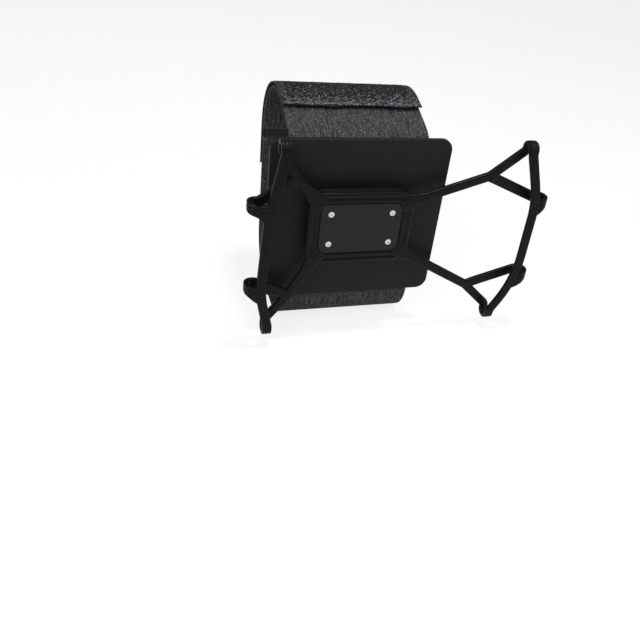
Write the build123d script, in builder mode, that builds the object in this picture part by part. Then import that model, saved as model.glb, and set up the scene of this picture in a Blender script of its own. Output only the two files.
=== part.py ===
"""Holder for a thin slab: a silicone web grips the slab, on a back plate that a wide elastic strap ties to a cushion."""
import os

from build123d import *

# Frame: X to the right and Z up as the viewer faces the holder, Y away from the viewer.
# The origin is the middle of the plate's rear face. All sizes are in millimetres.
# A depth is a distance from that face towards the viewer, so a depth d lies at y = -d.

# Slab that the web is stretched round
slab_width = 203.2
slab_height = 134.8
slab_thickness = 6.1
slab_shift = 28.0
slab_drop = 7.0
slab_clearance = 0.15

# Elastic strap and its closure
strap_width = 95.0
strap_thickness = 2.0
hook_width = 90.0
hook_thickness = 1.0
flap_width = 96.5
flap_thickness = 1.2
flap_end = 30.0
flap_seam_height = 0.0
hook_setback = 3.0
layer_gap = 0.05
joint_height = 24.0
joint_gap = 5.0

# Cushion that the strap is looped round
cushion_depth = 88.0
cushion_taper = 6.0
cushion_rear_top = 53.0
cushion_bottom = -84.0
cushion_rise = 32.0
rear_top_radius = 20.0
front_top_radius = 37.0
front_bottom_radius = 34.0
rear_bottom_radius = 24.0

# Back plate, with a sleeve for the strap behind and a pedestal for the web in front
plate_width = 122.0
plate_height = 116.0
plate_wall = 3.0
plate_corner = 8.0
plate_edge = 1.0
sleeve_wall = 2.0
sleeve_side = 9.0
sleeve_height = 60.0
sleeve_corner = 4.0
strap_side_clearance = 0.5
strap_face_clearance = 0.2
pedestal_width = 68.0
pedestal_height = 48.0
pedestal_rise = 8.0
pedestal_wall = 2.2
pedestal_corner = 9.0

# Silicone web
web_thickness = 3.0
bar_width = 6.6
left_insets = [18.5, 10.2, 7.3, 13.2]
right_insets = [19.0, 7.0, 6.7, 21.2]
left_upper_bend = 18.0
right_upper_bend = 29.0
lower_bend = -36.0
bar_bend = 80.0
end_bend = 10.0
upper_lug = 27.5
lower_lug = -32.0
lug_width = 8.0
lug_inset = 9.0
lug_rise = 5.0
upper_flare = 4.0
lower_flare = 5.0
rim_run = 3.0
rim_spare = 1.0
arm_bend = 9.0
left_fork_inset = 28.0
right_fork_inset = 42.0
fork_drop = 24.0
groove_width = 0.9
groove_depth = 0.6
inner_edge = 0.5
outer_edge = 4.0
hub_width = 72.0
hub_height = 52.0
hub_corner = 10.0

# Cover that clamps the web's hub, and its screws
cover_width = 56.0
cover_height = 36.0
cover_thickness = 1.8
cover_corner = 6.0
cover_edge = 0.4
cover_side_clearance = 0.3
cover_proud = 0.1
screw_spacing_x = 42.0
screw_spacing_z = 22.0
screw_radius = 1.0
screw_clearance = 0.05
screw_hole_clearance = 0.3
screw_seat_clearance = 0.1
screw_head_radius = 2.0
screw_head_depth = 1.1
screw_length = 7.5
screw_drive_radius = 0.9
screw_drive_depth = 0.5
boss_radius = 3.4

# Depths of the layers, from the rear face towards the viewer
channel_back = sleeve_wall
channel_depth = strap_thickness + 2 * strap_face_clearance
channel_width = strap_width + 2 * strap_side_clearance
plate_back = channel_back + channel_depth
plate_front = plate_back + plate_wall
pedestal_front = plate_front + pedestal_rise
web_front = pedestal_front + web_thickness
slab_back = web_front + slab_clearance
slab_middle = slab_back + slab_thickness / 2
cover_back = web_front + cover_proud - cover_thickness
rim = slab_clearance + web_thickness + rim_spare
web_reach = slab_thickness / 2 + rim

# Places on the slab's outline
half_width = slab_width / 2
half_height = slab_height / 2


def rounded_slab(margin, edge):
    """The slab grown by a margin on every side, with rounded edges."""
    with BuildPart() as grown:
        with Locations((slab_shift, -slab_middle, -slab_drop)):
            Box(slab_width + 2 * margin, slab_thickness + 2 * margin, slab_height + 2 * margin)
        fillet(grown.edges(), edge)
    return grown.part


def on_slab(x, z):
    """A point of the slab's face, given from the slab's centre."""
    return (slab_shift + x, z - slab_drop)


def bar_points(side, insets, upper_bend):
    """Centre line of one front bar, from over the top edge to under the bottom edge."""
    top, upper, lower, bottom = [side * (half_width - inset) for inset in insets]
    return [
        on_slab(top, half_height + rim),
        on_slab(top, half_height - rim_run),
        on_slab(upper, upper_bend),
        on_slab(lower, lower_bend),
        on_slab(bottom, -half_height + rim_run),
        on_slab(bottom, -half_height - rim),
    ]


def lug(side, height):
    """One lug of the front outline, flared at the bar and rising to its place on the short edge."""
    root = side * (half_width - lug_inset)
    neck = side * half_width
    tip = side * (half_width + rim)
    low = height - lug_width / 2
    high = height + lug_width / 2
    with BuildLine(mode=Mode.PRIVATE) as border:
        Polyline(
            on_slab(root, low - lug_rise - lower_flare),
            on_slab(neck, low),
            on_slab(tip, low),
            on_slab(tip, high),
            on_slab(neck, high),
            on_slab(root, high - lug_rise + upper_flare),
            close=True,
        )
    make_face(border.line.edges())


def arm_points(side, level, inset, fork_inset, lug_level):
    """Centre lines of one rear arm's two branches: to the long edge and to the lug."""
    start = (side * (hub_width / 2 - hub_corner), level * (hub_height / 2 - hub_corner))
    fork = on_slab(side * (half_width - fork_inset), level * (half_height - fork_drop))
    to_edge = [
        start,
        fork,
        on_slab(side * (half_width - inset), level * (half_height - rim_run)),
        on_slab(side * (half_width - inset), level * (half_height + rim)),
    ]
    to_lug = [
        fork,
        on_slab(side * (half_width - rim_run), lug_level),
        on_slab(side * (half_width + rim), lug_level),
    ]
    return to_edge, to_lug


def strip(points, width, bend):
    """A strip of one width along a line with rounded bends, added to the sketch in hand."""
    with BuildLine(mode=Mode.PRIVATE) as centre:
        FilletPolyline(*points, radius=bend)
    trace(centre.line, width)


bars = [
    bar_points(-1, left_insets, left_upper_bend),
    bar_points(1, right_insets, right_upper_bend),
]
bar_bends = [end_bend, bar_bend, bar_bend, end_bend]
arms = [
    arm_points(-1, 1, left_insets[0], left_fork_inset, upper_lug),
    arm_points(1, 1, right_insets[0], right_fork_inset, upper_lug),
    arm_points(-1, -1, left_insets[-1], left_fork_inset, lower_lug),
    arm_points(1, -1, right_insets[-1], right_fork_inset, lower_lug),
]

os.makedirs("parts", exist_ok=True)

# Back plate: a rounded plate, the sleeve behind it and the hollow pedestal with four screw bosses in front
with BuildPart() as back_plate:
    with BuildSketch(Plane.XZ.offset(plate_back)):
        RectangleRounded(plate_width, plate_height, plate_corner)
    extrude(amount=plate_wall)
    fillet(back_plate.faces().sort_by(Axis.Y)[0].edges(), plate_edge)
    with BuildSketch(Plane.XZ):
        RectangleRounded(channel_width + 2 * sleeve_side, sleeve_height, sleeve_corner)
    extrude(amount=plate_back)
    with BuildSketch(Plane.XY.offset(-sleeve_height / 2)):
        with Locations((0, -channel_back - channel_depth / 2)):
            Rectangle(channel_width, channel_depth)
    extrude(amount=sleeve_height, mode=Mode.SUBTRACT)
    with BuildSketch(Plane.XZ.offset(plate_front)):
        RectangleRounded(pedestal_width, pedestal_height, pedestal_corner)
        offset(amount=-pedestal_wall, mode=Mode.SUBTRACT)
        with GridLocations(screw_spacing_x, screw_spacing_z, 2, 2):
            Circle(boss_radius)
    extrude(amount=pedestal_rise)
    with BuildSketch(Plane.XZ.offset(pedestal_front)):
        with GridLocations(screw_spacing_x, screw_spacing_z, 2, 2):
            Circle(screw_radius + screw_clearance)
    extrude(amount=-pedestal_rise, mode=Mode.SUBTRACT)
back_plate.part.label = "back_plate"
export_step(back_plate.part, "parts/back_plate.step")

# Silicone web: one layer wrapped round the slab, cut to the bars and lugs in front and to the arms and hub behind
outer_slab = rounded_slab(slab_clearance + web_thickness, outer_edge)
inner_slab = rounded_slab(slab_clearance, inner_edge)
groove_floor = rounded_slab(slab_clearance + web_thickness - groove_depth, outer_edge - groove_depth)

with BuildSketch(Plane.XZ.offset(slab_middle)) as front_outline:
    for points in bars:
        strip(points, bar_width, bar_bends)
    for side in (-1, 1):
        lug(side, upper_lug)
        lug(side, lower_lug)

with BuildSketch(Plane.XZ.offset(slab_middle - web_reach)) as rear_outline:
    RectangleRounded(hub_width, hub_height, hub_corner)
    for to_edge, to_lug in arms:
        strip(to_edge, bar_width, arm_bend)
        strip(to_lug, lug_width, arm_bend)

with BuildPart() as grooves:
    with BuildSketch(Plane.XZ.offset(slab_middle)):
        for points in bars:
            strip(points, groove_width, bar_bends)
    extrude(amount=web_reach, both=True)
    add(outer_slab, mode=Mode.INTERSECT)
    add(groove_floor, mode=Mode.SUBTRACT)

with BuildPart() as web_shell:
    add(outer_slab)
    add(inner_slab, mode=Mode.SUBTRACT)

with BuildPart() as web_front_half:
    extrude(front_outline.sketch, amount=web_reach)
    add(web_shell.part, mode=Mode.INTERSECT)

with BuildPart() as silicone_web:
    extrude(rear_outline.sketch, amount=web_reach)
    add(web_shell.part, mode=Mode.INTERSECT)
    add(web_front_half.part)
    add(grooves.part, mode=Mode.SUBTRACT)
    with BuildSketch(Plane.XZ.offset(cover_back)):
        RectangleRounded(cover_width, cover_height, cover_corner)
        offset(amount=cover_side_clearance)
    extrude(amount=cover_thickness, mode=Mode.SUBTRACT)
    with BuildSketch(Plane.XZ.offset(pedestal_front)):
        with GridLocations(screw_spacing_x, screw_spacing_z, 2, 2):
            Circle(screw_radius + screw_hole_clearance)
    extrude(amount=web_thickness, mode=Mode.SUBTRACT)
silicone_web.part.label = "silicone_web"
export_step(silicone_web.part, "parts/silicone_web.step")

# Hub cover: a thin rounded plate, flush in the web's hub, with four countersunk holes
with BuildPart() as hub_cover:
    with BuildSketch(Plane.XZ.offset(cover_back)):
        RectangleRounded(cover_width, cover_height, cover_corner)
    extrude(amount=cover_thickness)
    with Locations(Plane.XZ.offset(cover_back + cover_thickness)):
        with GridLocations(screw_spacing_x, screw_spacing_z, 2, 2):
            CounterSinkHole(screw_radius + screw_hole_clearance, screw_head_radius + screw_seat_clearance)
    rim_edges = hub_cover.faces().sort_by(Axis.Y)[0].outer_wire().edges()
    chamfer(rim_edges, cover_edge)
hub_cover.part.label = "hub_cover"
export_step(hub_cover.part, "parts/hub_cover.step")

# Cover screws: countersunk heads with a plain round drive, all alike
with BuildPart(Plane.XZ.offset(cover_back + cover_thickness)) as cover_screws:
    seat = (Align.CENTER, Align.CENTER, Align.MAX)
    with GridLocations(screw_spacing_x, screw_spacing_z, 2, 2):
        Cylinder(screw_radius, screw_length, align=seat)
        Cone(screw_radius, screw_head_radius, screw_head_depth, align=seat)
        Cylinder(screw_drive_radius, screw_drive_depth, align=seat, mode=Mode.SUBTRACT)
cover_screws.part.label = "cover_screws"
export_step(cover_screws.part, "parts/cover_screws.step")

# Section of the cushion, in the plane of Y and Z, that the strap's layers are wrapped round
rear = -channel_back
front = rear + cushion_depth
cushion_corners = [
    (rear, cushion_bottom),
    (rear, cushion_rear_top),
    (front, cushion_rear_top + cushion_rise),
    (front - cushion_taper, cushion_bottom),
]
cushion_radii = [rear_bottom_radius, rear_top_radius, front_top_radius, front_bottom_radius]
top_run = Vector(cushion_depth, cushion_rise).normalized()
top_normal = Vector(-top_run.Y, top_run.X)
section_reach = rear_top_radius

# Distances of the layers from the cushion
strap_inside = strap_face_clearance
strap_outside = strap_inside + strap_thickness
hook_inside = strap_outside + layer_gap
hook_outside = hook_inside + hook_thickness
flap_inside = hook_outside + layer_gap
flap_outside = flap_inside + flap_thickness


def loop_ring(inside, outside):
    """The closed strip between two distances from the cushion, added to the sketch in hand."""
    with BuildLine(mode=Mode.PRIVATE) as outline:
        FilletPolyline(*cushion_corners, radius=cushion_radii, close=True)
    cushion = make_face(outline.line.edges(), mode=Mode.PRIVATE)
    offset(cushion, amount=outside)
    offset(cushion, amount=inside, mode=Mode.SUBTRACT)


def keep_closure(setback):
    """Keep the part of the strip between the flap's free end on top and its seam in front."""
    end = Vector(*cushion_corners[1]) + top_run * (flap_end + setback)
    seam = flap_seam_height + setback
    with BuildLine(mode=Mode.PRIVATE) as border:
        Polyline(
            end - top_normal * section_reach,
            end + top_normal * section_reach,
            (front + section_reach, cushion_rear_top + cushion_rise + section_reach),
            (front + section_reach, seam),
            (front - 2 * section_reach, seam),
            close=True,
        )
    make_face(border.line.edges(), mode=Mode.INTERSECT)


# Elastic strap: the loop, through the sleeve and round the cushion, with its two ends meeting under the flap
with BuildPart() as elastic_strap:
    with BuildSketch(Plane.YZ.offset(-strap_width / 2)):
        loop_ring(strap_inside, strap_outside)
        with Locations((front, joint_height)):
            Rectangle(2 * section_reach, joint_gap, mode=Mode.SUBTRACT)
    extrude(amount=strap_width)
elastic_strap.part.label = "elastic_strap"
export_step(elastic_strap.part, "parts/elastic_strap.step")

# Hook tape: sewn inside the flap, gripping the strap's pile
with BuildPart() as hook_tape:
    with BuildSketch(Plane.YZ.offset(-hook_width / 2)):
        loop_ring(hook_inside, hook_outside)
        keep_closure(hook_setback)
    extrude(amount=hook_width)
hook_tape.part.label = "hook_tape"
export_step(hook_tape.part, "parts/hook_tape.step")

# Closure flap: the pile-faced free end of the strap, over the hook tape
with BuildPart() as closure_flap:
    with BuildSketch(Plane.YZ.offset(-flap_width / 2)):
        loop_ring(flap_inside, flap_outside)
        keep_closure(0)
    extrude(amount=flap_width)
closure_flap.part.label = "closure_flap"
export_step(closure_flap.part, "parts/closure_flap.step")
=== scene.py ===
# %% [markdown]
# # A slab holder on an elastic strap, worked out with numpy
# A silicone web grips a thin slab at both ends. Its hub is clamped to a moulded plate, and a wide
# elastic strap ties that plate to a cushion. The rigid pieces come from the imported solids. The soft
# ones are computed here as arrays of points, because a formula gives ribs, ridges and pile at their
# true size.

import bmesh
import bpy
import numpy as np
from mathutils import Matrix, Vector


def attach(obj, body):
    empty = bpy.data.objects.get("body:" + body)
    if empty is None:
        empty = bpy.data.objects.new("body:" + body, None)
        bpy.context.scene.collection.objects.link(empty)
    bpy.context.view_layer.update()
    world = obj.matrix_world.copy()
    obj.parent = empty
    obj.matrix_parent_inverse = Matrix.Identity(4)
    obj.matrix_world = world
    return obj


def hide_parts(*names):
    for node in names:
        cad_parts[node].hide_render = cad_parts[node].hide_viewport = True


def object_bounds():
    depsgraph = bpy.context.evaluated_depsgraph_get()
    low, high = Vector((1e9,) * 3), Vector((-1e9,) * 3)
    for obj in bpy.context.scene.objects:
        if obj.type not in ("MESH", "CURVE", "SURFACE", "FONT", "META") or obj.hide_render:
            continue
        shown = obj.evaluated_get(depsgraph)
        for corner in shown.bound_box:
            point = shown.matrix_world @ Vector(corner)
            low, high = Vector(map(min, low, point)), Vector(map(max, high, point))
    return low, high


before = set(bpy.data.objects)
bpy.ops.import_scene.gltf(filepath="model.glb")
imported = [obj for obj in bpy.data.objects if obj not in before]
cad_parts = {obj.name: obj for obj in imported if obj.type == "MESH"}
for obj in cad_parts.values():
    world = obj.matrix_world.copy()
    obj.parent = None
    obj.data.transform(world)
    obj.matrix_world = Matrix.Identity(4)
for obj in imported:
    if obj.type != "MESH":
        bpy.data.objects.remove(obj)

cad_low, cad_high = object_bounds()
MM = 0.001
rng = np.random.default_rng(20)
print("CAD box in mm:", [round((b - a) / MM, 1) for a, b in zip(cad_low, cad_high)])

# %% [markdown]
# ## From arrays to a mesh
# Each new piece is a grid of points: rows run along a path, and columns run round a section. One helper
# lists the grid's quads and another fills the mesh, so that the shapes themselves stay plain formulas.


# %% Grids and meshes
def unit(vectors):
    """Each vector divided by its length."""
    return vectors / np.linalg.norm(vectors, axis=-1, keepdims=True)


def grid_faces(rows, columns, ring=True):
    """Quads of a grid: (i, j), (i, j+1), (i+1, j+1), (i+1, j), with the last column joined to the first
    in a ring."""
    i = np.arange(rows - 1)[:, None]
    j = np.arange(columns if ring else columns - 1)[None, :]
    k = (j + 1) % columns
    here, below = i * columns, (i + 1) * columns
    return np.stack([here + j, here + k, below + k, below + j], -1).reshape(-1, 4)


def put_mesh(name, shells, uv=None):
    """One object from (points, faces) shells in millimetres; uv holds one pair in millimetres for each
    point."""
    starts = np.cumsum([0] + [points.reshape(-1, 3).shape[0] for points, _ in shells])
    points = np.concatenate([points.reshape(-1, 3) for points, _ in shells]) * MM
    faces = np.concatenate([faces + start for (_, faces), start in zip(shells, starts)])
    mesh = bpy.data.meshes.new(name)
    mesh.from_pydata(points.tolist(), [], faces.tolist())
    if uv is not None:
        corner = np.empty(len(mesh.loops), dtype=np.int32)
        mesh.loops.foreach_get("vertex_index", corner)
        layer = mesh.uv_layers.new(name="cloth")
        layer.data.foreach_set("uv", (uv.reshape(-1, 2) * MM)[corner].astype(np.float32).ravel())
    mesh.polygons.foreach_set("use_smooth", np.ones(len(mesh.polygons), dtype=bool))
    piece = bpy.data.objects.new(name, mesh)
    bpy.context.scene.collection.objects.link(piece)
    return piece


def close_up(piece):
    """Merges points that fall together, such as a pole, and turns the faces of each closed shell
    outwards."""
    work = bmesh.new()
    work.from_mesh(piece.data)
    bmesh.ops.remove_doubles(work, verts=work.verts, dist=MM * 1e-4)
    bmesh.ops.recalc_face_normals(work, faces=work.faces)
    work.to_mesh(piece.data)
    work.free()
    print(piece.name, "faces:", len(piece.data.polygons))


# %% [markdown]
# ## Paths with rounded corners
# The strap runs round a cushion and the web runs round a slab, so every path is a chain of straight
# runs with arcs at its corners. A spline would overshoot beside a tight wrap, and arcs keep the real
# bend radius.


# %% Rounded routes
def rounded_route(corners, radii, spacing, closed=False):
    """Straight runs with an arc at each inner corner: an arc of radius r starts r / tan(half the inner
    angle) from the corner and turns about the bisector. The chain is then respaced evenly along its
    length."""
    corners = np.asarray(corners, dtype=float)
    count = len(corners)
    chain = [] if closed else [corners[:1]]
    for n, radius in zip(range(count) if closed else range(1, count - 1), radii):
        back = unit(corners[n - 1] - corners[n])
        ahead = unit(corners[(n + 1) % count] - corners[n])
        inner = np.arccos(back @ ahead)
        turn = np.pi - inner
        middle = corners[n] + unit(back + ahead) * radius / np.sin(inner / 2)
        first = corners[n] + back * radius / np.tan(inner / 2) - middle
        last = corners[n] + ahead * radius / np.tan(inner / 2) - middle
        t = np.linspace(0, 1, 24)[:, None]
        chain.append(middle + (np.sin((1 - t) * turn) * first + np.sin(t * turn) * last) / np.sin(turn))
    chain.append(chain[0][:1] if closed else corners[-1:])
    path = np.concatenate(chain)
    along = np.concatenate([[0], np.cumsum(np.linalg.norm(np.diff(path, axis=0), axis=1))])
    even = np.linspace(0, along[-1], int(along[-1] / spacing) + 1)
    return np.stack([np.interp(even, along, axis) for axis in path.T], axis=1)


def lengths_along(route):
    """Distance from the start of a route at each of its points."""
    return np.concatenate([[0], np.cumsum(np.linalg.norm(np.diff(route, axis=0), axis=1))])


# %% [markdown]
# ## The loop round the cushion
# Strap, hook strip and flap all follow one outline in the plane of Y and Z, each at its own distance
# from the cushion. The outline is worked out once, and a layer is a stretch of it moved outwards.

# %% The cushion's outline
strap_width, strap_thickness = 95.0, 2.0
hook_width, hook_thickness = 90.0, 1.0
flap_width, flap_thickness = 96.5, 1.2
face_clearance, layer_gap = 0.2, 0.05
cushion_corners = [(-2.0, -84.0), (-2.0, 53.0), (86.0, 85.0), (80.0, -84.0)]
cushion_radii = [24.0, 20.0, 37.0, 34.0]
outline = rounded_route(cushion_corners, cushion_radii, 0.5, closed=True)[:-1]
strap_joint = (85.1, 24.0)
ends_meet = np.argmin(np.hypot(outline[:, 0] - strap_joint[0], outline[:, 1] - strap_joint[1]))
outline = np.roll(outline, -ends_meet, axis=0)
outline_s = lengths_along(outline)
loop_length = outline_s[-1] + np.linalg.norm(outline[0] - outline[-1])
heading = unit(np.roll(outline, -1, axis=0) - np.roll(outline, 1, axis=0))


def on_loop(s, height):
    """Points of the loop at the distances s along it, moved outwards by a height: q(s) + height *
    n(s)."""
    columns = (outline[:, 0], outline[:, 1], -heading[:, 1], heading[:, 0])
    y, z, out_y, out_z = [np.interp(s, outline_s, column, period=loop_length) for column in columns]
    size = np.hypot(out_y, out_z)
    return y + height * out_y / size, z + height * out_z / size


def place_on_loop(y, z):
    """Distance along the loop of the point nearest to a place in its plane."""
    return outline_s[np.argmin(np.hypot(outline[:, 0] - y, outline[:, 1] - z))]


top_run = unit(np.array([88.0, 32.0]))
flap_end_run, flap_seam = 30.0, (83.0, 0.0)
flap_end_s = place_on_loop(*(np.array(cushion_corners[1]) + flap_end_run * top_run))
flap_seam_s = loop_length + place_on_loop(*flap_seam)
print("loop length in mm:", round(loop_length, 1), "flap from", flap_end_s, "to", round(flap_seam_s, 1))

# %% [markdown]
# ## A strip of cloth
# Elastic and tape are flat strips with soft edges. A section with a half circle at each side, carried
# along the loop, gives that edge. Its end rows close in a quarter circle, so the cut end is soft too.


# %% Strips on the loop
def cloth_section(width, thickness, across):
    """x(k) across and h(k) from the middle: outer face, half-circle edge, inner face, half-circle
    edge."""
    r = thickness / 2
    flat = width / 2 - r
    turn = np.linspace(0, np.pi, 7)[1:-1]
    face = np.linspace(-flat, flat, across)
    x = np.concatenate([face, flat + r * np.sin(turn), face[::-1], -flat - r * np.sin(turn[::-1])])
    h = np.concatenate([np.full(across, r), r * np.cos(turn), np.full(across, -r), r * np.cos(turn[::-1])])
    return x, h


def rounded_ends(start, stop, spacing, r):
    """Rows s(i) of a strip, and t(i), the share of its thickness: a quarter circle of radius r at each
    end."""
    turn = np.linspace(0, np.pi / 2, 5)[:-1]
    rows = np.linspace(start + r, stop - r, int((stop - start) / spacing))
    tip = r * (1 - np.cos(turn))
    s = np.concatenate([start + tip, rows, stop - tip[::-1]])
    t = np.concatenate([np.sin(turn), np.ones(len(rows)), np.sin(turn[::-1])])
    return s, t


def strip_on_loop(name, s, t, section, middle, relief=0.0, slide=0.0, lift=0.0):
    """p(i, k) = (x(k), loop(s(i) + slide, middle + lift + t(i) * (h(k) + relief))), with relief on the
    outer face."""
    x, h = section
    outer = h > 0.99 * h.max()
    height = middle + lift + t[:, None] * (h + relief * outer)
    y, z = on_loop(s[:, None] + slide + 0.0 * x, height)
    points = np.stack([np.broadcast_to(x, y.shape), y, z], axis=-1)
    uv = np.stack([np.broadcast_to(x, y.shape), np.broadcast_to(s[:, None], y.shape)], axis=-1)
    piece = put_mesh(name, [(points, grid_faces(*y.shape))], uv)
    close_up(piece)
    return piece


# %% [markdown]
# ## The elastic strap
# The strap is knitted elastic: rubber threads run along it, and between them the cloth draws in to fine
# ribs. Ribs this size catch the light, so they are real waves of the outer face and not only bump.

# %% Strap
rib_pitch, rib_height, joint_gap = 1.9, 0.1, 5.0
strap_middle = face_clearance + strap_thickness / 2
strap_section = cloth_section(strap_width, strap_thickness - 2 * rib_height, 200)
strap_s, strap_t = rounded_ends(joint_gap / 2, loop_length - joint_gap / 2, 2.5, strap_thickness / 2)
ribs = rib_height * np.cos(2 * np.pi * strap_section[0] / rib_pitch)
strap = strip_on_loop("elastic_band", strap_s, strap_t, strap_section, strap_middle, ribs)

# %% [markdown]
# ## The hook strip and the flap
# The flap is loop tape: a woven ground with a brushed pile, a stitched margin at both sides, and a cut
# end that waves a little and lifts at one corner. The hook strip is sewn inside it and shows only as a
# line at the edge.

# %% Hook strip
hook_middle = face_clearance + strap_thickness + layer_gap + hook_thickness / 2
hook_setback = 3.0
hook_from, hook_to = flap_end_s + hook_setback, flap_seam_s - hook_setback
hook_s, hook_t = rounded_ends(hook_from, hook_to, 3.0, hook_thickness / 2)
hook_section = cloth_section(hook_width, hook_thickness, 40)
hook_strip = strip_on_loop("hook_strip", hook_s, hook_t, hook_section, hook_middle)

# %% Flap
margin_width = 5.0
flap_middle = hook_middle + hook_thickness / 2 + layer_gap + flap_thickness / 2
flap_section = cloth_section(flap_width, flap_thickness, 180)
flap_s, flap_t = rounded_ends(flap_end_s, flap_seam_s, 0.75, flap_thickness / 2)
flap_x = flap_section[0]
from_end = (flap_s - flap_end_s)[:, None]
edge_wave = 0.55 * np.sin(flap_x / 9.0 + 0.6) + 0.35 * np.sin(flap_x / 3.7 + 2.0)
end_slide = edge_wave * np.exp(-from_end / 6.0)
raised_corner = 0.9 * np.exp(-((flap_x - 47.0) / 9.0) ** 2)
corner_lift = np.exp(-from_end / 7.0) * (raised_corner + 0.25 + 0.2 * np.sin(flap_x / 11.0))
inside_margin = np.clip((flap_width / 2 - margin_width - np.abs(flap_x)) / 1.5, 0, 1)
tufts = rng.normal(0.0, 0.16, (len(flap_s), len(flap_x)))
tufts = inside_margin * (0.22 + tufts * np.exp(-((from_end / 30.0) ** 2)))
flap = strip_on_loop("loop_flap", flap_s, flap_t, flap_section, flap_middle, tufts, end_slide, corner_lift)

# %% [markdown]
# ## Pile and stitches
# Brushed loop tape shows stray loops that stand up and catch the light, most of all near its cut end.
# Each one is a small bent thread of four sides. One thread is worked out once and copied by array
# arithmetic. Many threads get a lighter colour as a painted highlight, and more of them near the cut end.

# %% Copies of one small shape
def copies(shape, faces, places, along, across, upward, sizes):
    """Every copy at once: p = place + size * (a * along + b * across + c * upward) for each point (a,
    b, c)."""
    frame_of = np.stack([along, across, upward], axis=1)
    points = places[:, None, :] + sizes[:, None, None] * np.einsum("pa,nac->npc", shape, frame_of)
    starts = np.arange(len(places))[:, None, None] * len(shape)
    return points, (faces[None] + starts).reshape(-1, faces.shape[1])


def loop_frame(s):
    """Unit vectors along the loop and out of it at the distances s, as arrays of three."""
    y0, z0 = on_loop(s - 0.5, 0.0)
    y1, z1 = on_loop(s + 0.5, 0.0)
    along = unit(np.stack([np.zeros_like(s), y1 - y0, z1 - z0], axis=-1))
    outward = np.stack([np.zeros_like(s), -along[:, 2], along[:, 1]], axis=-1)
    return along, outward


def bent_thread(radius, sides, steps):
    """Half a turn of thread in the plane of a and c: middle (cos v, 0, sin v), with a round section
    about it that closes to a point at both ends."""
    v = np.linspace(0, np.pi, steps)[:, None]
    w = np.linspace(0, 2 * np.pi, sides, endpoint=False)[None, :]
    thick = radius * np.clip(3 * np.sin(v), 0, 1)
    reach = 1 + thick * np.cos(w)
    points = np.stack([reach * np.cos(v), thick * np.sin(w), reach * np.sin(v)], axis=-1)
    return points.reshape(-1, 3), grid_faces(steps, sides)


# %% Pile
thread_count = 5600
drawn = rng.random((thread_count, 5))
pile_s = flap_end_s + 0.8 + (flap_seam_s - flap_end_s - 2.0) * drawn[:, 0] ** 1.8
pile_x = (flap_width / 2 - 1.5) * (2 * drawn[:, 1] - 1)
pile_y, pile_z = on_loop(pile_s, flap_middle + flap_thickness / 2 + 0.1)
along, outward = loop_frame(pile_s)
turned = 2 * np.pi * drawn[:, 2:3]
sideways = np.array([1.0, 0.0, 0.0])
lean = np.cos(turned) * along + np.sin(turned) * sideways
cross = np.cos(turned) * sideways - np.sin(turned) * along
tilted = unit(outward + 1.1 * (drawn[:, 3:4] - 0.5) * cross)
near_end = np.exp(-(((pile_s - flap_end_s) / 20.0) ** 2))
thread_points, thread_faces = bent_thread(0.3, 4, 6)
pile = put_mesh("loop_pile", [copies(
    thread_points, thread_faces, np.stack([pile_x, pile_y, pile_z], axis=-1),
    lean, cross, tilted, (0.3 + 0.7 * near_end) * (0.5 + 0.5 * drawn[:, 4]),
)])
# A share of the threads, larger near the cut end, gets a lighter colour: a painted highlight for loops
# that catch the light.
catches_light = rng.random(thread_count) < 0.06 + 0.6 * near_end
glint = np.where(catches_light, rng.uniform(0.04, 0.16, thread_count), 0.012)
painted_glint = np.repeat(glint, len(thread_points))
glint_layer = pile.data.attributes.new("painted_glint", "FLOAT", "POINT")
glint_layer.data.foreach_set("value", painted_glint.astype(np.float32))
close_up(pile)

# %% Stitches
stitch_pitch = 3.6
stitch_s = np.arange(flap_end_s + 2.0, flap_seam_s - 2.0, stitch_pitch)
stitch_x = np.repeat([-1.0, 1.0], len(stitch_s)) * (flap_width / 2 - margin_width + 0.6)
stitch_s = np.tile(stitch_s, 2)
stitch_y, stitch_z = on_loop(stitch_s, flap_middle + flap_thickness / 2 - 0.15)
along, outward = loop_frame(stitch_s)
stitch_points, stitch_faces = bent_thread(0.2, 6, 9)
stitch_points = stitch_points * np.array([1.25, 1.1, 0.42])
stitches = put_mesh("flap_stitches", [copies(
    stitch_points, stitch_faces, np.stack([stitch_x, stitch_y, stitch_z], axis=-1),
    along, np.broadcast_to(sideways, along.shape), outward, np.full(len(stitch_s), 1.0),
)])
close_up(stitches)

# %% [markdown]
# ## The silicone web
# The web is one moulding of soft silicone. From the hub, arms fork behind the slab, go over its edges
# and come together again in the two front bars. Every limb has the same section, a band with lengthwise
# ridges, so one ridged section is carried along each route. The outward side of a limb is the side away
# from the slab.

# %% Section of a limb
web_thickness, groove_depth, crown = 3.0, 0.55, 0.2
ridge_x = np.linspace(-0.84, 0.84, 21)
dips = np.exp(-(((np.abs(ridge_x) - 0.32) / 0.09) ** 2))
ridge_h = web_thickness / 2 - groove_depth * dips - crown * ridge_x**2
side_turn = np.linspace(0, np.pi, 9)[1:-1]
side_h = (web_thickness / 2 - crown * 0.7) * np.cos(side_turn)
side_x = 0.84 + 0.16 * np.sin(side_turn)
floor_x = np.linspace(0.84, -0.84, 5)
limb_x = np.concatenate([ridge_x, side_x, floor_x, -side_x[::-1]])
limb_h = np.concatenate([ridge_h, side_h, np.full(5, -web_thickness / 2), side_h[::-1]])
print("points round a limb:", len(limb_x))

# %% The slab that sets the web's shape
slab_width, slab_height, slab_thickness = 203.2, 134.8, 6.1
slab_shift, slab_drop, slab_back, slab_clearance = 28.0, 7.0, 18.55, 0.15
half_width, half_height = slab_width / 2, slab_height / 2
layer = slab_clearance + web_thickness / 2
rear_depth, front_depth = slab_back - layer, slab_back + slab_thickness + layer
wrap_radius = 4.2
slab_middle = np.array([slab_shift, -slab_back - slab_thickness / 2, -slab_drop])
slab_core = np.array([half_width, slab_thickness / 2, half_height]) + layer - wrap_radius


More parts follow.
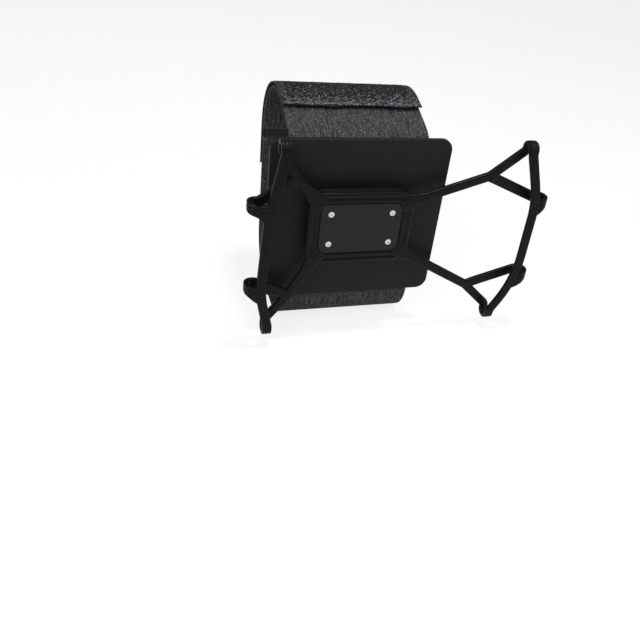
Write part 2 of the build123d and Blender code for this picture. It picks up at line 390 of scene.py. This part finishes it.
def away_from_slab(points):
    """Outward direction of the wrapped layer: from the nearest point of a box inside the slab."""
    offset = points - slab_middle
    return unit(offset - np.clip(offset, -slab_core, slab_core))


def limb(route, half_widths, sink, steer=0.0):
    """p(i, k) = route(i) + e(i) * (across(i) * w(i) * x(k) + out(i) * h(k)) - out(i) * sink(i), with
    across = out x along turned by steer, and e closing to a point over a short taper at both ends."""
    s = lengths_along(route)
    along = unit(np.gradient(route, axis=0))
    out = away_from_slab(route)
    across = unit(np.cross(out, along))
    out = np.cross(along, across)
    across = unit(across + steer)
    ends = np.sqrt(np.clip(np.minimum(s, s[-1] - s) / 1.2, 0, 1))
    section = across[:, None] * (half_widths[:, None] * limb_x)[..., None] + out[:, None] * limb_h[:, None]
    points = (route - out * sink[:, None])[:, None] + ends[:, None, None] * section
    return points, grid_faces(*points.shape[:2])


def at(x, z, depth):
    """A point of the web, given from the slab's centre and as a depth from the plate's rear face."""
    return (slab_shift + x, -depth, z - slab_drop)


# %% Where the bars, lugs and forks lie
bar_half, lug_half, end_run = 3.3, 3.7, 5.0
upper_lug, lower_lug, lug_rise = 27.5, -32.0, 4.5
fork_insets, fork_drop = {-1: 28.0, 1: 42.0}, 24.0
hub_half_width, hub_half_height, hub_corner = 36.0, 26.0, 10.0
top_level, arm_spacing = half_height + layer, 0.6
upper_bends, lower_bend = {-1: 18.0, 1: 29.0}, -36.0
bar_heights = {
    side: np.array([half_height - end_run, bend, lower_bend, end_run - half_height])
    for side, bend in upper_bends.items()
}
bar_insets = {-1: np.array([18.5, 10.2, 7.3, 13.2]), 1: np.array([19.0, 7.0, 6.7, 21.2])}


def bar_place(side, height):
    """The bar's middle line: straight from bend to bend, given as a distance from the slab's centre."""
    return side * (half_width - np.interp(height, bar_heights[side][::-1], bar_insets[side][::-1]))


# %% Bars and arms, one closed limb for each end of the slab
def end_limb(side):
    """One limb from the hub over the top edge, down the front bar, under the bottom edge and back to
    the hub."""
    upper, upper_bend, lower_bend, lower = side * (half_width - bar_insets[side])
    fork = side * (half_width - fork_insets[side])
    root_x = side * (hub_half_width - hub_corner)
    root_z = hub_half_height - hub_corner
    corners = [
        (root_x, -rear_depth, root_z),
        at(fork, half_height - fork_drop, rear_depth),
        at(upper, half_height - end_run, rear_depth),
        at(upper, top_level, rear_depth),
        at(upper, top_level, front_depth),
        at(upper, half_height - end_run, front_depth),
        at(upper_bend, bar_heights[side][1], front_depth),
        at(lower_bend, bar_heights[side][2], front_depth),
        at(lower, end_run - half_height, front_depth),
        at(lower, -top_level, front_depth),
        at(lower, -top_level, rear_depth),
        at(lower, end_run - half_height, rear_depth),
        at(fork, fork_drop - half_height, rear_depth),
        (root_x, -rear_depth, -root_z),
    ]
    radii = [9, 4, wrap_radius, wrap_radius, 8, 80, 80, 7, wrap_radius, wrap_radius, 4, 9]
    route = rounded_route(corners, radii, arm_spacing)
    s = lengths_along(route)
    from_hub = np.minimum(s, s[-1] - s)
    widths = bar_half + 2.4 * np.exp(-((from_hub / 14.0) ** 4))
    return limb(route, widths, 0.25 * np.exp(-((from_hub / 10.0) ** 4)))


web_shells = [end_limb(side) for side in (-1, 1)]
print("end limbs:", [points.shape for points, _ in web_shells])


# %% Lugs over the short edges
def lug_limb(side, level, height):
    """One limb from the front bar up and out over the short edge and back to the fork, flared where it
    leaves."""
    edge = side * (half_width + layer)
    root = height - lug_rise
    corners = [
        at(bar_place(side, root), root, front_depth),
        at(edge, height, front_depth),
        at(edge, height, rear_depth),
        at(side * (half_width - end_run), height, rear_depth),
        at(side * (half_width - fork_insets[side]), level * (half_height - fork_drop), rear_depth),
    ]
    route = rounded_route(corners, [wrap_radius, wrap_radius, 7], arm_spacing)
    s = lengths_along(route)
    flare = 4.6 * np.exp(-((s / 4.6) ** 2))
    sink = 0.35 * np.exp(-((s / 3.0) ** 4)) + 0.5 * np.exp(-(((s[-1] - s) / 4.0) ** 4))
    bar_run = np.array([bar_place(side, root + 1) - bar_place(side, root - 1), 0.0, 2.0])
    first_across = np.cross(away_from_slab(route[:1]), unit(route[1:2] - route[:1]))
    bar_run = unit(bar_run) * np.sign(first_across @ bar_run)[:, None]
    steer = np.exp(-((s / 4.6) ** 2))[:, None] * (bar_run - first_across)
    return limb(route, lug_half + flare, sink, steer)


for side in (-1, 1):
    web_shells += [lug_limb(side, level, height) for level, height in ((1, upper_lug), (-1, lower_lug))]


# %% Hub
def rounded_ring(half_x, half_z, corner, depth, steps=12):
    """A rounded rectangle: quarter circles about (+-(half_x - r), +-(half_z - r)), at one depth."""
    turn = np.linspace(0, np.pi / 2, steps)
    angle = (turn[None, :] + np.arange(4)[:, None] * np.pi / 2).ravel()
    sign_x = np.repeat([1, -1, -1, 1], steps)
    sign_z = np.repeat([1, 1, -1, -1], steps)
    x = sign_x * (half_x - corner) + corner * np.cos(angle)
    z = sign_z * (half_z - corner) + corner * np.sin(angle)
    return np.stack([x, np.full_like(x, -depth), z], axis=-1)


hub_back, hub_front, pocket_floor = 15.4, 18.4, 16.7
hub_rings = np.stack([
    rounded_ring(0.0, 0.0, 0.0, hub_back),
    rounded_ring(34.8, 24.8, 9.0, hub_back),
    rounded_ring(35.7, 25.7, 9.8, hub_back + 0.35),
    rounded_ring(36.0, 26.0, 10.0, hub_back + 1.1),
    rounded_ring(36.0, 26.0, 10.0, hub_front - 1.1),
    rounded_ring(35.7, 25.7, 9.8, hub_front - 0.35),
    rounded_ring(34.8, 24.8, 9.0, hub_front),
    rounded_ring(32.8, 22.8, 8.0, hub_front),
    rounded_ring(32.4, 22.4, 7.8, hub_front - 0.4),
    rounded_ring(31.8, 21.8, 7.4, hub_front - 0.4),
    rounded_ring(31.4, 21.4, 7.2, hub_front),
    rounded_ring(28.8, 18.8, 6.8, hub_front),
    rounded_ring(28.3, 18.3, 6.3, hub_front - 0.4),
    rounded_ring(28.3, 18.3, 6.3, pocket_floor),
    rounded_ring(0.0, 0.0, 0.0, pocket_floor),
])
web_shells.append((hub_rings, grid_faces(*hub_rings.shape[:2])))
web = put_mesh("silicone_limbs", web_shells)
close_up(web)

# %% [markdown]
# ## Shader maths in Python
# A finish is a few waves and noises added together. Written as nodes that is a long list, so a small
# class wraps a socket and lets ordinary arithmetic add the Math nodes.


# %% Wires
class Wire:
    """A socket of a material. Arithmetic on it adds Math nodes, and node() adds any other node."""

    def __init__(self, tree, socket=None):
        self.tree = tree
        self.socket = socket

    def node(self, kind, settings=None, sockets=None, output=0):
        """Adds a node: its settings first, then a value or a Wire for each socket."""
        made = self.tree.nodes.new(kind)
        for key, value in (settings or {}).items():
            setattr(made, key, value)
        for key, value in (sockets or {}).items():
            if isinstance(value, Wire):
                self.tree.links.new(value.socket, made.inputs[key])
            else:
                made.inputs[key].default_value = value
        return Wire(self.tree, made.outputs[output])

    def maths(self, operation, *values):
        """A Math node on the given values, in order."""
        return self.node("ShaderNodeMath", {"operation": operation}, dict(enumerate(values)))

    def __add__(self, other):
        return self.maths("ADD", self, other)

    def __sub__(self, other):
        return self.maths("SUBTRACT", self, other)

    def __rsub__(self, other):
        return self.maths("SUBTRACT", other, self)

    def __mul__(self, other):
        return self.maths("MULTIPLY", self, other)

    __radd__ = __add__
    __rmul__ = __mul__

    def wave(self, pitch):
        """A wave from 0 to 1 and back in each pitch."""
        return self.maths("SINE", self * (2 * np.pi / pitch)) * 0.5 + 0.5

    def between(self, low, high):
        """0 below low, 1 above high and a smooth step between."""
        return self.node(
            "ShaderNodeMapRange", {"interpolation_type": "SMOOTHSTEP"},
            {"Value": self, "From Min": low, "From Max": high},
        )


class Finish:
    """A material with one Principled shader whose constants are set by name on its own sockets."""

    def __init__(self, name, **constants):
        self.material = bpy.data.materials.new(name)
        self.material.use_nodes = True
        tree = self.material.node_tree
        self.shader = tree.nodes["Principled BSDF"]
        self.wire = Wire(tree)
        self.place = self.wire.node("ShaderNodeTexCoord", output="Object")
        for key, value in constants.items():
            self.shader.inputs[key.replace("_", " ")].default_value = value

    def noise(self, size_mm, detail=3.0):
        """Noise whose grains are about size_mm across."""
        sockets = {"Vector": self.place, "Scale": 1 / (size_mm * MM), "Detail": detail}
        return self.wire.node("ShaderNodeTexNoise", {}, sockets)

    def cloth(self):
        """Distances across and along a strip, in millimetres, from its own map."""
        flat = self.wire.node("ShaderNodeUVMap", {"uv_map": "cloth"})
        both = self.wire.node("ShaderNodeVectorMath", {"operation": "SCALE"}, {0: flat, "Scale": 1 / MM})
        return both, [self.wire.node("ShaderNodeSeparateXYZ", {}, {0: both}, axis) for axis in ("X", "Y")]

    def blend(self, share, dark, light):
        """A colour between two, by a share from 0 to 1."""
        return self.wire.node(
            "ShaderNodeMix", {"data_type": "RGBA"}, {"Factor": share, 6: (*dark, 1), 7: (*light, 1)}, 2
        )

    def feed(self, **wires):
        """Links wires to the shader's sockets by name; Height goes through a Bump node of a depth in
        millimetres."""
        height = wires.pop("Height", None)
        if height is not None:
            level, depth = height
            sockets = {"Height": level, "Distance": depth * MM, "Strength": 1.0}
            wires["Normal"] = self.wire.node("ShaderNodeBump", {}, sockets)
        for key, wire in wires.items():
            self.wire.tree.links.new(wire.socket, self.shader.inputs[key.replace("_", " ")])
        return self.material


# %% [markdown]
# ## Finishes
# Silicone is near black with a satin skin that is never quite even. The plate has the fine grain of a
# textured mould. The elastic shows its ribs, crossed by the rows of the knit, and the flap is dull and
# flecked.

# %% Silicone
silicone = Finish("satin_silicone", Specular_IOR_Level=0.11)
blotch = silicone.noise(14.0)
grain = silicone.noise(0.5, 2.0)
silicone_finish = silicone.feed(
    Base_Color=silicone.blend(blotch, (0.0012, 0.0012, 0.0012), (0.0035, 0.0035, 0.0033)),
    Roughness=blotch * 0.16 + grain * 0.08 + 0.27,
    Height=(grain, 0.03),
)


# %% Moulded plastic
def moulded(name, dark, light, rough, grain_mm):
    """Textured plastic: round grains of one size, and a slow drift of colour and gloss."""
    plastic = Finish(name, Specular_IOR_Level=0.15)
    drift = plastic.noise(22.0)
    speck = plastic.noise(grain_mm, 2.0)
    return plastic.feed(
        Base_Color=plastic.blend(drift * 0.7 + speck * 0.3, dark, light),
        Roughness=drift * 0.1 + speck * 0.14 + rough,
        Height=(speck, 0.1),
    )


plate_finish = moulded("grained_plate", (0.003, 0.003, 0.003), (0.007, 0.007, 0.0075), 0.42, 0.8)
cover_finish = moulded("grained_cover", (0.006, 0.006, 0.006), (0.012, 0.012, 0.0125), 0.38, 0.5)

# %% Screws
zinc = Finish("zinc_screw", Metallic=1.0)
haze = zinc.noise(1.2)
screw_finish = zinc.feed(
    Base_Color=zinc.blend(haze, (0.42, 0.42, 0.44), (0.62, 0.62, 0.63)), Roughness=haze * 0.2 + 0.22
)

# %% Elastic
elastic = Finish("ribbed_elastic", Specular_IOR_Level=0.1)
flat, (u, v) = elastic.cloth()
streak_place = elastic.wire.node(
    "ShaderNodeVectorMath", {"operation": "MULTIPLY"}, {0: flat, 1: (1.3, 0.09, 1.0)}
)
streak = elastic.wire.node("ShaderNodeTexNoise", {}, {"Vector": streak_place, "Scale": 1.0, "Detail": 3.0})
fleck = elastic.noise(1.3, 3.0)
knit = u.wave(rib_pitch / 2) * v.wave(0.9)
strap_finish = elastic.feed(
    Base_Color=elastic.blend(
        streak.between(0.3, 0.7) * 0.45 + knit * 0.1 + fleck.between(0.5, 0.68) * 0.55,
        (0.006, 0.006, 0.006), (0.088, 0.088, 0.089),
    ),
    Roughness=knit * 0.15 + 0.68,
    Height=(knit + fleck * 0.5, 0.12),
)

# %% Loop tape
tape = Finish("brushed_loop_tape", Specular_IOR_Level=0.08)
flat, (u, v) = tape.cloth()
margin_line, margin_blur = flap_width / 2 - margin_width, 0.3
margin = tape.wire.maths("ABSOLUTE", u).between(margin_line - margin_blur, margin_line + margin_blur)
fuzz = tape.noise(0.7, 4.0)
weave = u.wave(0.8) * v.wave(0.8)
pile_share = fuzz.between(0.5, 0.72) * (1 - margin) * 0.5
margin_share = margin * (weave * 0.25 + fuzz.between(0.5, 0.68) * 0.4 + 0.14)
flap_finish = tape.feed(
    Base_Color=tape.blend(pile_share + margin_share, (0.007, 0.007, 0.008), (0.066, 0.068, 0.073)),
    Roughness=fuzz * 0.2 + 0.7,
    Height=(fuzz * (1 - margin) + weave * margin * 0.3, 0.4),
)

# %% Pile threads, stitches and hook strip
threads = Finish("pile_thread", Roughness=0.55)
# The thread colour runs from black to near white by its painted glint value, a painted highlight.
own = threads.wire.node("ShaderNodeAttribute", {"attribute_name": "painted_glint"}, output="Fac")
pile_finish = threads.feed(Base_Color=threads.blend(own, (0.0, 0.0, 0.0), (0.97, 1.0, 1.07)))

sewing = Finish("sewing_thread", Sheen_Weight=0.1)
twist = sewing.noise(0.35, 1.0)
stitch_finish = sewing.feed(
    Base_Color=sewing.blend(twist, (0.03, 0.03, 0.032), (0.11, 0.11, 0.115)), Roughness=twist * 0.2 + 0.5
)

hooks = Finish("hook_tape", Specular_IOR_Level=0.4)
flat, (u, v) = hooks.cloth()
rows = u.wave(1.6) * v.wave(1.6)
hook_finish = hooks.feed(
    Base_Color=hooks.blend(rows, (0.008, 0.008, 0.008), (0.03, 0.03, 0.03)),
    Roughness=rows * 0.2 + 0.5, Height=(rows, 0.3),
)
print("finishes:", len(bpy.data.materials))

# %% [markdown]
# ## Dressing the frame
# Each new piece takes the place of its plain solid and rides on the one body. The flat lengths the
# strips of cloth were cut to are worked out and printed.

# %% Pieces
dressed = [
    (strap, strap_finish, "strap", ["elastic_strap"]),
    (hook_strip, hook_finish, "hook", ["hook_tape"]),
    (flap, flap_finish, "flap", ["closure_flap"]),
    (pile, pile_finish, "flap", []),
    (stitches, stitch_finish, "flap", []),
    (web, silicone_finish, "web", ["silicone_web"]),
]
for piece, finish, slot, nodes in dressed:
    piece.data.materials.append(finish)
    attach(piece, "root")
    if nodes:
        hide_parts(*nodes)

solid_finishes = {"back_plate": plate_finish, "hub_cover": cover_finish, "cover_screws": screw_finish}
for node, finish in solid_finishes.items():
    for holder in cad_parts[node].material_slots:
        holder.material = finish

# %% Sheets of cloth
strap_cut = loop_length - joint_gap + 2 * np.pi * strap_middle
strap_cut * MM
flap_turn_extra, hook_turn_extra = 7.0, 5.0
flap_cut = (flap_seam_s - flap_end_s + flap_turn_extra) * MM
hook_cut = (hook_to - hook_from + hook_turn_extra) * MM
print("cut lengths in mm:", [round(x, 1) for x in (strap_cut, flap_cut / MM, hook_cut / MM)])

# %% [markdown]
# ## Stage, light and camera
# The floor is a pale sheet under the loop, and the backdrop is plain white to the camera. A broad lamp
# above on the left, a weaker one on the right and an even sky give soft studio light, and a small lamp
# overhead gives the glints. The camera is placed by the slab's corners, a little above and to the left,
# and it leans as the photograph does.

# %% Floor and light
scene = bpy.context.scene
scene.view_settings.view_transform = "Standard"
floor_level = cad_low[2] - 0.4 * MM
floor_faces = grid_faces(2, 2, ring=False)
floor_half = 4000.0
floor_corners = np.array([[-1, -1, 0], [1, -1, 0], [-1, 1, 0], [1, 1, 0]])
floor_points = floor_corners * floor_half + [0, 0, floor_level / MM]
floor = put_mesh("floor", [(floor_points, floor_faces[:, ::-1])])
pale = Finish("pale_floor", Roughness=0.9, Specular_IOR_Level=0.1)
pale_finish = pale.feed(Base_Color=pale.blend(pale.noise(300.0), (0.84, 0.84, 0.84), (0.88, 0.88, 0.88)))
white = pale.wire.node("ShaderNodeEmission", {}, {"Color": (1.0, 1.0, 1.0, 1.0), "Strength": 1.0})
to_camera = pale.wire.node("ShaderNodeLightPath", output="Is Camera Ray")
lit = Wire(pale.wire.tree, pale.shader.outputs[0])
whitened = pale.wire.node("ShaderNodeMixShader", {}, {0: to_camera * 0.8, 1: lit, 2: white})
whitened.tree.links.new(whitened.socket, whitened.tree.nodes["Material Output"].inputs["Surface"])
floor.data.materials.append(pale_finish)

world = bpy.data.worlds.new("studio")
scene.world = world
world.use_nodes = True
sky = Wire(world.node_tree)
seen = sky.node("ShaderNodeLightPath", output="Is Camera Ray")
backdrop = world.node_tree.nodes["Background"]
backdrop.inputs["Color"].default_value = (1.0, 1.0, 1.0, 1.0)
strength = seen * 0.68 + 0.32
world.node_tree.links.new(strength.socket, backdrop.inputs["Strength"])


def lamp(name, place, target, size, power):
    """A square area lamp at a place, turned towards a target, both in millimetres."""
    light = bpy.data.lights.new(name, "AREA")
    light.size, light.energy = size * MM, power
    holder = bpy.data.objects.new(name, light)
    scene.collection.objects.link(holder)
    back = unit(np.asarray(place, float) - target)
    side = unit(np.cross([0.0, 0.0, 1.0], back))
    turn = np.eye(4)
    turn[:3] = np.stack([side, np.cross(back, side), back, np.asarray(place) * MM], axis=1)
    holder.matrix_world = Matrix(turn.tolist())


lamp_target = (20.0, 0.0, 0.0)
lamp("key", (-700.0, -700.0, 900.0), lamp_target, 700.0, 11.0)
lamp("top", (90.0, -40.0, 900.0), lamp_target, 140.0, 6.0)
lamp("fill", (900.0, -600.0, 500.0), lamp_target, 900.0, 5.0)
print("lamps:", len(bpy.data.lights))

# %% Camera
focal_px, frame_px, sensor = 726.4, 640.0, 36.0
middle_px = np.array([373.1, 299.1])
forward = unit(np.array([0.3188, 0.7699, -0.5529]))
lean = np.radians(9.1)
level_side = unit(np.cross(forward, [0.0, 0.0, 1.0]))
level_up = np.cross(level_side, forward)
side = np.cos(lean) * level_side + np.sin(lean) * level_up
upright = np.cos(lean) * level_up - np.sin(lean) * level_side
stand = np.array([-176.4 + slab_shift, -392.95 - slab_back - slab_thickness, 235.7 - slab_drop])
pose = np.eye(4)
pose[:3] = np.stack([side, upright, -forward, stand * MM], axis=1)
camera_data = bpy.data.cameras.new("camera")
camera_data.sensor_width = sensor
camera_data.lens = focal_px / frame_px * sensor
camera_data.shift_x, camera_data.shift_y = (frame_px / 2 - middle_px) / frame_px * [1, -1]
camera_data.clip_start = 0.01
camera = bpy.data.objects.new("camera", camera_data)
scene.collection.objects.link(camera)
camera.matrix_world = Matrix(pose.tolist())
scene.camera = camera

slab_corners = np.array([[-1, -1, 1], [1, -1, 1], [1, -1, -1], [-1, -1, -1]])
front_face = slab_middle + slab_corners * [half_width, slab_thickness / 2, half_height]
seen_from = (front_face - stand) @ np.stack([side, upright, forward], axis=1)
corner_px = middle_px + focal_px * seen_from[:, :2] / seen_from[:, 2:] * [1, -1]
print("slab corners in px:", corner_px.round(1).tolist())
